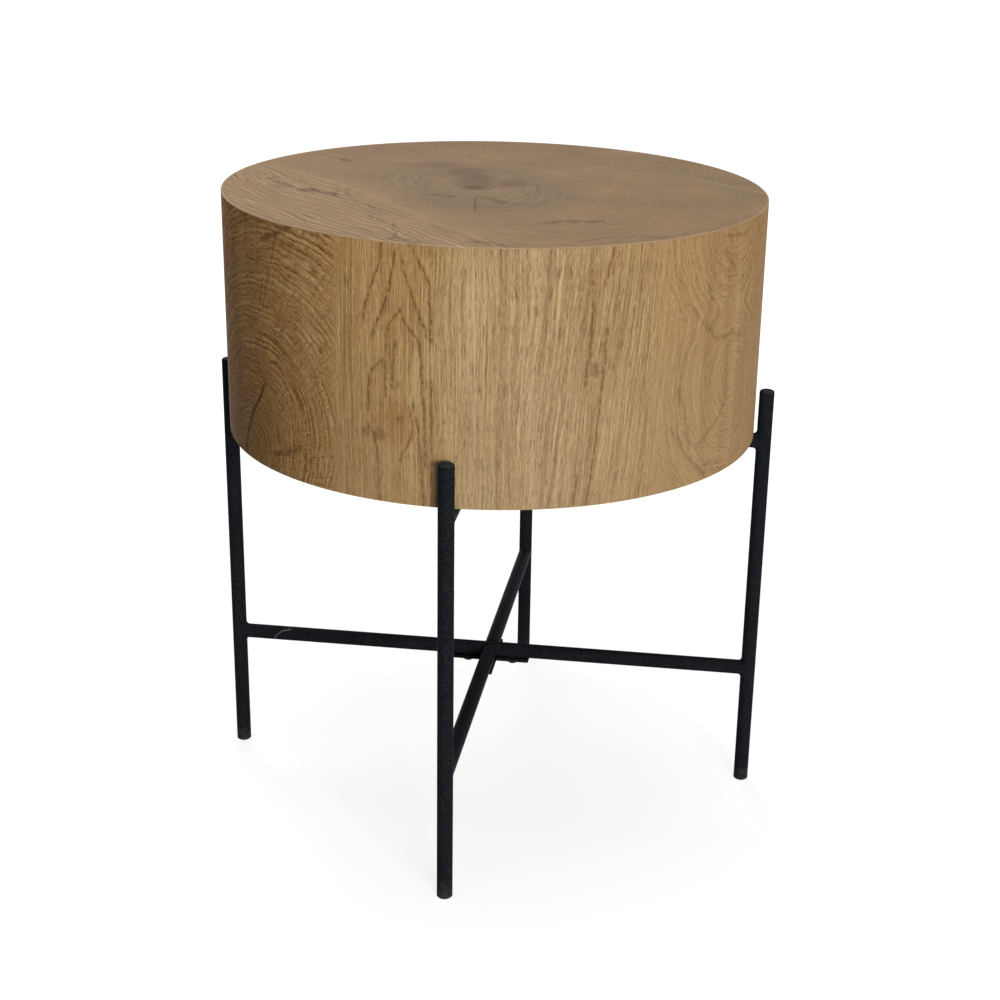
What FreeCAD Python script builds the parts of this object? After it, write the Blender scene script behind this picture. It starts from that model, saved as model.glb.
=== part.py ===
import FreeCAD, Part

import math
import os

import Sketcher
from FreeCAD import Placement, Rotation, Vector

# Drum side table: a wood-look drum carried by a knock-down frame of solid steel rods.
#
# Millimetres. The origin is on the floor under the middle of the drum and +Z points up.
# One leg stands on each of +X (right), +Y (back), -X (left) and -Y (front). Two crosses of
# the same rod join the legs: one low down, one directly under the drum. In each cross the
# left-right rod is continuous. The front and back rods butt against it, and a plus-shaped
# plate bolted underneath holds the four arms together.

SIZES = {
    # drum
    "drum_diameter": 420,
    "drum_height": 187,
    "underside_height": 311.5,        # floor to the drum's underside
    "side_laminate_thickness": 0.6,
    "top_laminate_thickness": 0.8,
    "top_edge_bevel": 0.35,           # broken edge of the top laminate
    "laminate_seam": 0.3,             # butt joint of the wrapped side laminate
    "wall_thickness": 9,
    "top_panel_thickness": 15,
    "top_panel_rebate": 6,            # depth of the panel's plug inside the wall
    "bottom_panel_thickness": 12,
    "panel_clearance": 0.2,           # round the panels and ribs inside the wall
    "rib_thickness": 12,
    "lap_clearance": 0.1,             # each side of a rib in the other rib's slot
    # rods
    "rod_diameter": 12,
    "leg_gap": 2.5,                   # between the drum's side and a leg
    "leg_rise": 36.5,                 # leg top above the drum's underside
    "leg_top_round": 2,
    "foot_bevel": 0.8,
    "lower_cross_height": 104.5,      # floor to the lower rods' axis
    "lower_weld": 3.5,                # radius of the fillet welds on the lower cross
    "cope_clearance": 0.05,           # radial, between a rod's saddle and the leg in it
    "butt_gap": 0.4,                  # half rod's end to the through rod's side
    # joining plates
    "plate_reach": 33,                # centre to an arm's end
    "plate_width": 12,
    "plate_thickness": 2.5,
    "plate_bolt_offset": 19,          # centre to a bolt
    # button-head screws
    "screw_diameter": 5,
    "screw_clearance": 0.25,          # radial, in plain holes
    "thread_clearance": 0.05,         # radial, in tapped holes
    "head_diameter": 9.5,
    "head_height": 2.75,
    "head_rim": 0.9,                  # straight rim under the dome's slope
    "head_flat": 5.4,                 # flat across the top of the head
    "socket_width": 3,                # hexagon socket across flats
    "socket_depth": 1.6,
    "plate_bolt_length": 10,
    "plate_bolt_hole_depth": 8.5,
    # drum fixings
    "drum_screw_offset": 120,         # centre to a drum screw
    "drum_screw_length": 19,
    "spot_face_depth": 1.5,           # flat seat for a head under a round rod
    "spot_face_clearance": 0.25,
    "insert_diameter": 8,
    "insert_flange_diameter": 12,
    "insert_flange_thickness": 1,
    "insert_length": 10,
}

# Lengths that follow from the driving sizes, written as expressions on the sheet.
ROD_RADIUS = "(sizes.rod_diameter / 2)"
DRUM_RADIUS = "(sizes.drum_diameter / 2)"
LEG_REACH = f"({DRUM_RADIUS} + sizes.leg_gap + {ROD_RADIUS})"
UPPER_CROSS_HEIGHT = f"(sizes.underside_height - {ROD_RADIUS})"
WALL_OUTER = f"({DRUM_RADIUS} - sizes.side_laminate_thickness)"
WALL_INNER = f"({WALL_OUTER} - sizes.wall_thickness)"
PLUG_RADIUS = f"({WALL_INNER} - sizes.panel_clearance)"
BOARD_HEIGHT = "(sizes.drum_height - sizes.top_laminate_thickness)"
RIM_THICKNESS = "(sizes.top_panel_thickness - sizes.top_panel_rebate)"
RIB_HEIGHT = f"({BOARD_HEIGHT} - sizes.bottom_panel_thickness - sizes.top_panel_thickness)"
RIB_REACH = f"sqrt({PLUG_RADIUS} ^ 2 - (sizes.rib_thickness / 2) ^ 2)"
RIB_SLOT = "(sizes.rib_thickness + 2 * sizes.lap_clearance)"
SADDLE = "(sizes.rod_diameter + 2 * sizes.cope_clearance)"
HALF_BAR_START = f"({ROD_RADIUS} + sizes.butt_gap)"
TAPPED_HOLE = "(sizes.screw_diameter + 2 * sizes.thread_clearance)"
PLAIN_HOLE = "(sizes.screw_diameter + 2 * sizes.screw_clearance)"
SPOT_FACE = "(sizes.head_diameter + 2 * sizes.spot_face_clearance)"

QUARTER_TURNS = 4
START, END, CENTRE = 1, 2, 3      # Sketcher's numbers for the points of a line or circle
SKETCH_ORIGIN = (-1, START)
SKETCH_X_AXIS, SKETCH_Y_AXIS = -1, -2
TOUCH = 1e-4                      # two heights nearer than this are the same

WELD_SINK = 0.15                  # how far a bead's edges reach into the rods
WELD_SWEEP = math.radians(76)     # how far a bead runs round the leg, each way
WELD_STEPS = 3                    # sections from the middle of a bead to its end


# ---------------------------------------------------------------- document helpers

def fill_sheet(doc):
    sheet = doc.addObject("Spreadsheet::Sheet", "sizes")
    for row, (alias, number) in enumerate(SIZES.items(), start=1):
        sheet.set(f"A{row}", alias)
        sheet.set(f"B{row}", str(number))
        sheet.setAlias(f"B{row}", alias)
    doc.recompute()


def value(owner, expression):
    """The number that an expression gives now, in millimetres."""
    return float(owner.evalExpression(expression))


def new_body(doc, label):
    body = doc.addObject("PartDesign::Body", label)
    body.Label = label
    return body


def place(body, x="0", y="0", z="0", turn=0):
    """Turn a body about Z and move it to a place given by expressions."""
    body.Placement = Placement(Vector(), Rotation(Vector(0, 0, 1), turn))
    for axis, expression in zip("xyz", (x, y, z)):
        body.setExpression(f"Placement.Base.{axis}", expression)


def origin_feature(body, role):
    return next(feature for feature in body.Origin.OriginFeatures if feature.Role == role)


def sketch_on(body, name, plane="XY_Plane", offset="0", shift="0"):
    """A sketch parallel to an origin plane, offset along its normal and shifted along its X."""
    sketch = body.newObject("Sketcher::SketchObject", f"{body.Name}_{name}")
    sketch.AttachmentSupport = (origin_feature(body, plane), "")
    sketch.MapMode = "FlatFace"
    sketch.setExpression("AttachmentOffset.Base.z", offset)
    sketch.setExpression("AttachmentOffset.Base.x", shift)
    return sketch


def bind(sketch, kind, parts, expression):
    """Add a dimension to a sketch and tie it to an expression."""
    number = value(sketch, expression)
    index = sketch.addConstraint(Sketcher.Constraint(kind, *parts, number))
    sketch.setExpression(f"Constraints[{index}]", expression)


def pin_point(sketch, point, x, y):
    """Fix a point of the sketch at distances x and y from the sketch's origin."""
    for kind, expression, axis in (("DistanceX", x, SKETCH_Y_AXIS), ("DistanceY", y, SKETCH_X_AXIS)):
        distance = value(sketch, expression)
        if distance == 0:
            sketch.addConstraint(Sketcher.Constraint("PointOnObject", *point, axis))
        elif distance > 0:
            bind(sketch, kind, (*SKETCH_ORIGIN, *point), expression)
        else:
            bind(sketch, kind, (*point, *SKETCH_ORIGIN), f"-({expression})")


def draw_circle(sketch, diameter, x="0", y="0"):
    centre = Vector(value(sketch, x), value(sketch, y), 0)
    circle = Part.Circle(centre, Vector(0, 0, 1), value(sketch, diameter) / 2)
    index = sketch.addGeometry(circle, False)
    pin_point(sketch, (index, CENTRE), x, y)
    bind(sketch, "Diameter", (index,), diameter)


def draw_outline(sketch, corners):
    """Draw a closed straight-sided outline through corners given as pairs of expressions."""
    points = [Vector(value(sketch, x), value(sketch, y), 0) for x, y in corners]
    sides = []
    for start, end in zip(points, points[1:] + points[:1]):
        sides.append(sketch.addGeometry(Part.LineSegment(start, end), False))
    for side, next_side in zip(sides, sides[1:] + sides[:1]):
        sketch.addConstraint(Sketcher.Constraint("Coincident", side, END, next_side, START))
    for side, (x, y) in zip(sides, corners):
        pin_point(sketch, (side, START), x, y)


def draw_rectangle(sketch, left, right, bottom, top):
    draw_outline(sketch, [(left, bottom), (right, bottom), (right, top), (left, top)])


def draw_hexagon(sketch, across_flats):
    corners = []
    for sixth in range(6):
        turn = f"{60 * sixth + 30} deg"
        reach = f"{across_flats} / sqrt(3)"
        corners.append((f"{reach} * cos({turn})", f"{reach} * sin({turn})"))
    draw_outline(sketch, corners)


def pad(body, sketch, name, length):
    feature = body.newObject("PartDesign::Pad", f"{body.Name}_{name}")
    feature.Profile = sketch
    feature.setExpression("Length", length)
    body.Document.recompute()
    return feature


def cut_upward(body, sketch, name, depth):
    """Cut a sketch's outline out of the body, upward from the sketch, and make sure it bites."""
    before = body.Shape.Volume
    feature = body.newObject("PartDesign::Pocket", f"{body.Name}_{name}")
    feature.Profile = sketch
    feature.Reversed = True
    feature.setExpression("Length", depth)
    body.Document.recompute()
    if feature.Shape.Volume >= before - TOUCH:
        raise RuntimeError(f"{feature.Name} cuts nothing")
    return feature


def revolve(body, sketch, name):
    feature = body.newObject("PartDesign::Revolution", f"{body.Name}_{name}")
    feature.Profile = sketch
    feature.ReferenceAxis = (sketch, ["V_Axis"])
    feature.Angle = 360
    body.Document.recompute()
    return feature


def repeat_round(body, name, originals=None):
    """Repeat features, or the whole body so far, at quarter turns about the body's Z axis."""
    feature = body.newObject("PartDesign::PolarPattern", f"{body.Name}_{name}")
    if originals:
        feature.Originals = originals
    else:
        feature.TransformMode = "Whole shape"
    feature.Axis = (origin_feature(body, "Z_Axis"), [""])
    feature.Angle = 360
    feature.Occurrences = QUARTER_TURNS
    body.Tip = feature
    body.Document.recompute()


def dress(body, kind, name, base, picks, size):
    """Round (Fillet) or bevel (Chamfer) the edges of a feature that picks(edge) selects."""
    chosen = [f"Edge{number}" for number, edge in enumerate(base.Shape.Edges, start=1) if picks(edge)]
    feature = body.newObject(f"PartDesign::{kind}", f"{body.Name}_{name}")
    feature.Base = (base, chosen)
    feature.setExpression("Radius" if kind == "Fillet" else "Size", size)
    body.Document.recompute()
    return feature


def rim_at(height):
    """Pick the edges that lie flat at one height."""
    def picks(edge):
        box = edge.BoundBox
        return abs(box.ZMin - height) < TOUCH and abs(box.ZMax - height) < TOUCH
    return picks


def rod_along_x(doc, name, start, end, diameter):
    cylinder = doc.addObject("Part::Cylinder", name)
    cylinder.Placement = Placement(Vector(), Rotation(Vector(0, 1, 0), 90))
    cylinder.setExpression("Radius", f"{diameter} / 2")
    cylinder.setExpression("Height", f"{end} - ({start})")
    cylinder.setExpression("Placement.Base.x", start)
    return cylinder


def upright_cylinder(doc, name, diameter, x, bottom, height):
    cylinder = doc.addObject("Part::Cylinder", name)
    cylinder.setExpression("Radius", f"{diameter} / 2")
    cylinder.setExpression("Height", height)
    cylinder.setExpression("Placement.Base.x", x)
    cylinder.setExpression("Placement.Base.z", bottom)
    return cylinder


# ---------------------------------------------------------------- steel frame

def make_leg(doc, label, direction):
    """A plain rod with a softened top and a slightly bevelled foot."""
    body = new_body(doc, label)
    section = sketch_on(body, "section")
    draw_circle(section, "sizes.rod_diameter")
    height = "sizes.underside_height + sizes.leg_rise"
    rod = pad(body, section, "rod", height)
    top = dress(body, "Fillet", "top", rod, rim_at(value(body, height)), "sizes.leg_top_round")
    dress(body, "Chamfer", "foot", top, rim_at(0), "sizes.foot_bevel")
    place(body, x=f"{LEG_REACH} * cos({direction} deg)", y=f"{LEG_REACH} * sin({direction} deg)")
    return body


def bead_section(turn, rod_radius, weld, leg_reach, side):
    """The outline of a fillet weld where a ball of its radius rolls round the crotch of two rods.

    turn is how far round the leg the ball stands, from the middle of the crotch. The ball touches
    the leg and the bar, and the weld's concave face is the arc between the two contacts. The
    contacts are sunk a little into the rods, and the root lies deeper, so that the bead fuses.
    """
    across, forward = math.sin(turn), math.cos(turn)
    ball = Vector(forward, across, forward) * (rod_radius + weld)
    to_leg = Vector(-forward, -across, 0)
    to_bar = Vector(0, -across, -forward)
    inward = to_leg + to_bar
    face_middle = ball + Vector(inward).normalize() * weld
    on_leg = ball + to_leg * (weld + WELD_SINK)
    on_bar = ball + to_bar * (weld + WELD_SINK)
    root = ball + inward * (weld + 2 * WELD_SINK)
    on_leg, face_middle, on_bar, root = (
        Vector(leg_reach - point.x, point.y, side * point.z)
        for point in (on_leg, face_middle, on_bar, root))
    face = Part.Arc(on_leg, face_middle, on_bar).toShape()
    return Part.Wire([face, Part.makeLine(on_bar, root), Part.makeLine(root, on_leg)])


def make_weld_bead(doc, name, weld, end, side):
    """A fillet weld in the crotch above (side 1) or below (side -1) a bar, at its +X or -X end."""
    bead = doc.addObject("Part::Feature", name)
    sheet = doc.getObject("sizes")
    numbers = [value(sheet, expression) for expression in (ROD_RADIUS, weld, LEG_REACH)]
    turns = [WELD_SWEEP * step / WELD_STEPS for step in range(-WELD_STEPS, WELD_STEPS + 1)]
    bead.Shape = Part.makeLoft([bead_section(turn, *numbers, side) for turn in turns], True)
    bead.Placement = Placement(Vector(), Rotation(Vector(0, 0, 1), 0 if end > 0 else 180))
    return bead


def make_bar(doc, label, direction, height, weld, through, carries_drum):
    """A horizontal rod along its own X, coped and fillet-welded to a leg at one or both ends."""
    ends = (1, -1) if through else (1,)
    start = f"-{LEG_REACH}" if through else HALF_BAR_START
    welded = doc.addObject("Part::MultiFuse", f"{label}_welded")
    solids = [rod_along_x(doc, f"{label}_rod", start, LEG_REACH, "sizes.rod_diameter")]
    for end in ends:
        for side, level in ((1, "above"), (-1, "below")):
            name = f"{label}_bead_{level}_{'far' if end > 0 else 'near'}"
            solids.append(make_weld_bead(doc, name, weld, end, side))
    welded.Shapes = solids

    holes = [("tapped_hole", TAPPED_HOLE, "sizes.plate_bolt_offset", "sizes.plate_bolt_hole_depth")]
    if carries_drum:
        holes.append(("screw_hole", PLAIN_HOLE, "sizes.drum_screw_offset", "sizes.rod_diameter"))
        holes.append(("spot_face", SPOT_FACE, "sizes.drum_screw_offset", "sizes.spot_face_depth"))
    saddle_depth = f"(4 * (sizes.rod_diameter + {weld}))"
    tools = doc.addObject("Part::MultiFuse", f"{label}_tools")
    cutters = []
    for end in ends:
        sign = "" if end > 0 else "-"
        cutters.append(upright_cylinder(doc, f"{label}_saddle", SADDLE, f"{sign}{LEG_REACH}",
                                        f"-{saddle_depth} / 2", saddle_depth))
        for name, diameter, reach, depth in holes:
            cutters.append(upright_cylinder(doc, f"{label}_{name}", diameter, f"{sign}{reach}",
                                            f"-{ROD_RADIUS}", depth))
    tools.Shapes = cutters

    bar = doc.addObject("Part::Cut", label)
    bar.Label = label
    bar.Base = welded
    bar.Tool = tools
    place(bar, z=height, turn=direction)
    return bar


def make_cross_plate(doc, label, cross_height):
    """A flat plus with square-ended arms and one bolt hole in each, under a crossing of rods."""
    body = new_body(doc, label)
    outline = sketch_on(body, "outline")
    half = "sizes.plate_width / 2"
    arm = [("sizes.plate_reach", f"-{half}"), ("sizes.plate_reach", half), (half, half)]
    corners = []
    for _ in range(QUARTER_TURNS):
        corners += arm
        arm = [(f"-({y})", x) for x, y in arm]
    draw_outline(outline, corners)
    pad(body, outline, "plus", "sizes.plate_thickness")
    hole = sketch_on(body, "hole")
    draw_circle(hole, PLAIN_HOLE, x="sizes.plate_bolt_offset")
    first_hole = cut_upward(body, hole, "bolt_hole", "sizes.plate_thickness")
    repeat_round(body, "bolt_holes", [first_hole])
    place(body, z=f"{cross_height} - {ROD_RADIUS} - sizes.plate_thickness")
    return body


def make_button_screws(doc, label, offset, length, seat_height):
    """Four button-head screws in a ring, heads down, each with a hexagon socket."""
    body = new_body(doc, label)
    profile = sketch_on(body, "profile", plane="XZ_Plane", shift=offset)
    shank = "sizes.screw_diameter / 2"
    rim = "sizes.head_diameter / 2"
    draw_outline(profile, [
        ("0", length),
        (shank, length),
        (shank, "0"),
        (rim, "0"),
        (rim, "-sizes.head_rim"),
        ("sizes.head_flat / 2", "-sizes.head_height"),
        ("0", "-sizes.head_height"),
    ])
    revolve(body, profile, "screw")
    socket = sketch_on(body, "socket", offset="-sizes.head_height", shift=offset)
    draw_hexagon(socket, "sizes.socket_width")
    cut_upward(body, socket, "recess", "sizes.socket_depth")
    repeat_round(body, "ring")
    place(body, z=seat_height)
    return body


# ---------------------------------------------------------------- drum

def make_threaded_inserts(doc):
    """Four flanged brass inserts, let into the bottom panel from below."""
    body = new_body(doc, "threaded_inserts")
    profile = sketch_on(body, "profile", plane="XZ_Plane", shift="sizes.drum_screw_offset")
    bore = f"{TAPPED_HOLE} / 2"
    sleeve = "sizes.insert_diameter / 2"
    flange = "sizes.insert_flange_diameter / 2"
    draw_outline(profile, [
        (bore, "0"),
        (flange, "0"),
        (flange, "sizes.insert_flange_thickness"),
        (sleeve, "sizes.insert_flange_thickness"),
        (sleeve, "sizes.insert_length"),
        (bore, "sizes.insert_length"),
    ])
    revolve(body, profile, "insert")
    repeat_round(body, "ring")
    place(body, z="sizes.underside_height")
    return body


def make_bottom_panel(doc):
    """A disc inside the foot of the wall, with a stepped hole for each insert."""
    body = new_body(doc, "drum_bottom_panel")
    outline = sketch_on(body, "outline")
    draw_circle(outline, f"2 * {PLUG_RADIUS}")
    pad(body, outline, "disc", "sizes.bottom_panel_thickness")
    steps = []
    for name, diameter, depth in (
            ("sleeve", "sizes.insert_diameter", "sizes.insert_length"),
            ("flange", "sizes.insert_flange_diameter", "sizes.insert_flange_thickness")):
        hole = sketch_on(body, name)
        draw_circle(hole, diameter, x="sizes.drum_screw_offset")
        steps.append(cut_upward(body, hole, f"{name}_hole", depth))
    repeat_round(body, "insert_holes", steps)
    place(body, z="sizes.underside_height")
    return body


def make_top_panel(doc):
    """A disc that rests on the wall, with a rebated plug that keeps the wall round."""
    body = new_body(doc, "drum_top_panel")
    profile = sketch_on(body, "profile", plane="XZ_Plane")
    draw_outline(profile, [
        ("0", "0"),
        (PLUG_RADIUS, "0"),
        (PLUG_RADIUS, "sizes.top_panel_rebate"),
        (WALL_OUTER, "sizes.top_panel_rebate"),
        (WALL_OUTER, "sizes.top_panel_thickness"),
        ("0", "sizes.top_panel_thickness"),
    ])
    revolve(body, profile, "disc")
    place(body, z=f"sizes.underside_height + {BOARD_HEIGHT} - sizes.top_panel_thickness")
    return body


def make_side_wall(doc):
    """A board bent into a closed ring, standing on the upper rods."""
    body = new_body(doc, "drum_side_wall")
    section = sketch_on(body, "section")
    draw_circle(section, f"2 * {WALL_OUTER}")
    draw_circle(section, f"2 * {WALL_INNER}")
    pad(body, section, "ring", f"{BOARD_HEIGHT} - {RIM_THICKNESS}")
    place(body, z="sizes.underside_height")
    return body


def make_rib(doc, label, direction, slot_from_top):
    """An upright board across the drum, slotted to half its height to cross the other rib."""
    body = new_body(doc, label)
    outline = sketch_on(body, "outline", plane="XZ_Plane", offset="-sizes.rib_thickness / 2")
    slot = f"{RIB_SLOT} / 2"
    middle = f"{RIB_HEIGHT} / 2"
    slot_mouth = RIB_HEIGHT if slot_from_top else "0"
    far_edge = "0" if slot_from_top else RIB_HEIGHT
    draw_outline(outline, [
        (f"-{RIB_REACH}", far_edge),
        (RIB_REACH, far_edge),
        (RIB_REACH, slot_mouth),
        (slot, slot_mouth),
        (slot, middle),
        (f"-{slot}", middle),
        (f"-{slot}", slot_mouth),
        (f"-{RIB_REACH}", slot_mouth),
    ])
    pad(body, outline, "board", "sizes.rib_thickness")
    place(body, z="sizes.underside_height + sizes.bottom_panel_thickness", turn=direction)
    return body


def make_side_laminate(doc):
    """A thin printed sheet wrapped round the wall, butted at the back."""
    body = new_body(doc, "side_laminate")
    section = sketch_on(body, "section")
    draw_circle(section, "sizes.drum_diameter")
    draw_circle(section, f"2 * {WALL_OUTER}")
    pad(body, section, "wrap", BOARD_HEIGHT)
    seam = sketch_on(body, "seam")
    half_seam = "sizes.laminate_seam / 2"
    draw_rectangle(seam, f"-{half_seam}", half_seam, WALL_INNER, f"2 * {DRUM_RADIUS}")
    cut_upward(body, seam, "seam_cut", BOARD_HEIGHT)
    place(body, z="sizes.underside_height")
    return body


def make_top_laminate(doc):
    """A printed disc over the top panel and over the upper edge of the side laminate."""
    body = new_body(doc, "top_laminate")
    section = sketch_on(body, "section")
    draw_circle(section, "sizes.drum_diameter")
    disc = pad(body, section, "disc", "sizes.top_laminate_thickness")
    rim = rim_at(value(body, "sizes.top_laminate_thickness"))
    dress(body, "Chamfer", "edge", disc, rim, "sizes.top_edge_bevel")
    place(body, z=f"sizes.underside_height + {BOARD_HEIGHT}")
    return body


# ---------------------------------------------------------------- whole table

def make_frame(doc):
    legs = {"right": 0, "back": 90, "left": 180, "front": 270}
    pieces = [make_leg(doc, f"leg_{side}", direction) for side, direction in legs.items()]
    crosses = (
        ("lower", "sizes.lower_cross_height", "sizes.lower_weld", False),
        ("upper", UPPER_CROSS_HEIGHT, "sizes.leg_gap", True),      # this weld fits beside the drum
    )
    for level, height, weld, carries_drum in crosses:
        label = f"{level}_through_bar"
        pieces.append(make_bar(doc, label, legs["right"], height, weld, True, carries_drum))
        for side in ("front", "back"):
            label = f"{level}_half_bar_{side}"
            pieces.append(make_bar(doc, label, legs[side], height, weld, False, carries_drum))
        pieces.append(make_cross_plate(doc, f"{level}_cross_plate", height))
        plate_underside = f"{height} - {ROD_RADIUS} - sizes.plate_thickness"
        pieces.append(make_button_screws(doc, f"{level}_plate_bolts", "sizes.plate_bolt_offset",
                                         "sizes.plate_bolt_length", plate_underside))
    return pieces


def make_drum(doc):
    spot_face = f"sizes.underside_height - sizes.rod_diameter + sizes.spot_face_depth"
    return [
        make_bottom_panel(doc),
        make_threaded_inserts(doc),
        make_button_screws(doc, "drum_screws", "sizes.drum_screw_offset",
                           "sizes.drum_screw_length", spot_face),
        make_side_wall(doc),
        make_rib(doc, "drum_rib_x", 0, True),
        make_rib(doc, "drum_rib_y", 90, False),
        make_top_panel(doc),
        make_side_laminate(doc),
        make_top_laminate(doc),
    ]


def check(doc, pieces):
    for item in doc.Objects:
        if "Invalid" in item.State or "Error" in item.State:
            raise RuntimeError(f"{item.Name} failed: {item.State}")
    for piece in pieces:
        if piece.Shape.isNull() or not piece.Shape.isValid() or not piece.Shape.Solids:
            raise RuntimeError(f"{piece.Label} has no valid solid")


def main():
    doc = FreeCAD.newDocument("drum_side_table")
    fill_sheet(doc)
    pieces = make_frame(doc) + make_drum(doc)
    doc.recompute()
    check(doc, pieces)
    os.makedirs("parts", exist_ok=True)
    for piece in pieces:
        piece.Shape.exportStep(f"parts/{piece.Label}.step")
        print(piece.Label, len(piece.Shape.Solids), round(piece.Shape.Volume, 1))


main()
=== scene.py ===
import math

import bpy
from mathutils import Matrix, Vector


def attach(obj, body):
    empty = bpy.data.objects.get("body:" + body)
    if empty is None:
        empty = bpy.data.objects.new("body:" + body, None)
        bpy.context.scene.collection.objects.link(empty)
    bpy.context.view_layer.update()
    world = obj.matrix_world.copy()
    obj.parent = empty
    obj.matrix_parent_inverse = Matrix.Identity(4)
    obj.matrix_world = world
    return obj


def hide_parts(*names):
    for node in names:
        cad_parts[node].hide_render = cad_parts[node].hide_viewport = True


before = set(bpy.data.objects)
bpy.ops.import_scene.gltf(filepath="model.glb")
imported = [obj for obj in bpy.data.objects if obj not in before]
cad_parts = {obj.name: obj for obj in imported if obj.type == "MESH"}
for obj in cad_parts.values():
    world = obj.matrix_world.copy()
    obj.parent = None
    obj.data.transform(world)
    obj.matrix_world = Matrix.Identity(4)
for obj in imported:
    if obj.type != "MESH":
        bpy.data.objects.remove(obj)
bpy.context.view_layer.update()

# Drum side table. Lengths in this file are millimetres until a piece is made, then metres.
# The origin is on the floor under the middle of the drum. The front leg stands at -Y and the
# right leg at +X.

MM = 0.001

DRUM_RADIUS = 210.0
DRUM_BOTTOM = 311.5
DRUM_TOP = 498.5
SIDE_THICKNESS = 0.6
TOP_THICKNESS = 0.8
TOP_BEVEL = 0.35
SEAM = 0.3
LAMINATE_EDGE_ROUND = 0.12
LAMINATE_LENGTH = 1320.0
TOP_RIM = 12.0

ROD_RADIUS = 6.0
LEG_REACH = 218.5
LEG_TOP = 348.0
LEG_TOP_ROUND = 2.0
LEG_RINGS = (30.0, 90.0, 200.0, 300.0)
ROUND_STEPS = 8
FOOT_BEVEL = 0.8
COPE_RADIUS = 6.05
LOWER_CROSS = 104.5
UPPER_CROSS = 305.5
LOWER_WELD = 2.7
UPPER_WELD = 2.5
BAR_END = 14.0
HALF_BAR_START = 6.4
HALF_BAR_BREAK = 0.25
HALF_BAR_TIP = 0.96
WELD_SWEEP = math.radians(76)
WELD_RIPPLE = 0.05
WELD_STEPS = 60
BEAD_STEPS = 8

PLATE_REACH = 33.0
PLATE_HALF_WIDTH = 6.0
PLATE_THICKNESS = 2.5
PLATE_CORNER_ROUND = 0.9
PLATE_CORNER_STEPS = 4
PLATE_EDGE = ((0.3, 0.0), (0.08, 0.08), (0.0, 0.3))
PLATE_BOLT_OFFSET = 19.0
PLATE_BOLT_LENGTH = 10.0
DRUM_SCREW_OFFSET = 120.0
DRUM_SCREW_LENGTH = 19.0
DRUM_SCREW_SEAT = 301.0
SCREW_RADIUS = 2.5
HEAD_RADIUS = 4.75
HEAD_HEIGHT = 2.75
HEAD_RIM = 0.9
HEAD_FLAT_RADIUS = 2.7
HEAD_FULLNESS = 0.9
SOCKET_WIDTH = 3.0
SOCKET_DEPTH = 1.6
SOCKET_CONE = 0.25
SOCKET_TIP = 0.3
SOCKET_LEAD_IN = 0.15
SOCKET_FLARE = 0.3
POINT_LENGTH = 0.6
POINT_INSET = 0.5

ROD_SIDES = 64
SCREW_SIDES = 48
DRUM_SIDES = 360
SHARP_ANGLE = math.radians(38)

FLOOR_GLOW = 0.80
FLOOR_GREY = 0.35
FLOOR_WHITE_FROM = 350.0
FLOOR_WHITE_BEYOND = 1300.0
SKY_STRENGTH = 0.10

# Camera, lamps and floor are placed in metres.
FLOOR_REACH = 8.0
LAMP_TARGET = (0.0, 0.0, 0.33)
CAMERA_PLACE = (0.20545, -1.37514, 0.76751)
CAMERA_FORWARD = (-0.09448, 0.93041, -0.35415)
CAMERA_LEVEL = (0.99488, 0.10103, 0.0)
CAMERA_ROLL = 0.0303


# ------------------------------------------------------------------ finishes

class Tone:
    """A value, colour or shader that some nodes give. Arithmetic on it adds Math nodes."""

    def __init__(self, nodes, socket):
        self.nodes = nodes
        self.socket = socket

    def __add__(self, other):
        return self.nodes.math("ADD", self, other)

    def __sub__(self, other):
        return self.nodes.math("SUBTRACT", self, other)

    def __rsub__(self, other):
        return self.nodes.math("SUBTRACT", other, self)

    def __mul__(self, other):
        return self.nodes.math("MULTIPLY", self, other)

    def __truediv__(self, other):
        return self.nodes.math("DIVIDE", self, other)

    def __neg__(self):
        return self.nodes.math("MULTIPLY", self, -1.0)

    __radd__ = __add__
    __rmul__ = __mul__


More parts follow.
